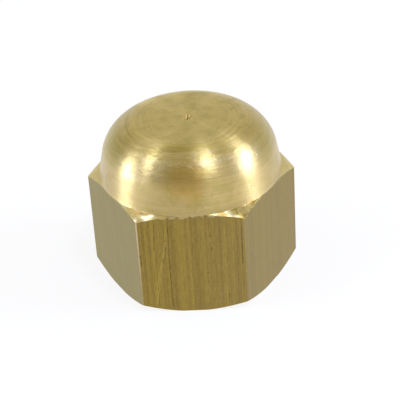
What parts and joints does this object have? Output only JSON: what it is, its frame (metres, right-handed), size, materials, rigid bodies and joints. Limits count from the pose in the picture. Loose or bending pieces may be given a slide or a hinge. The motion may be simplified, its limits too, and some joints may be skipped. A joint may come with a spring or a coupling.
{
  "type": "hydraulic cap fitting",
  "caption": "One-piece brass domed hexagon cap with a blind internally threaded socket, for closing the end of a threaded pipe fitting.",
  "frame": {"origin": "centre of the foot face, on the axis of the cap", "axes": "+Z along the axis of the cap, from its open foot to its domed crown; +X through a corner of the hexagon, so -Y faces out of a flat"},
  "size_m": [0.0218, 0.0192, 0.0178],
  "materials": {
    "brass": "as turned on the dome, as drawn on the flats, slightly dulled"
  },
  "bodies": {
    "root": {"domed_cap": "brass"}
  },
  "joints": []
}
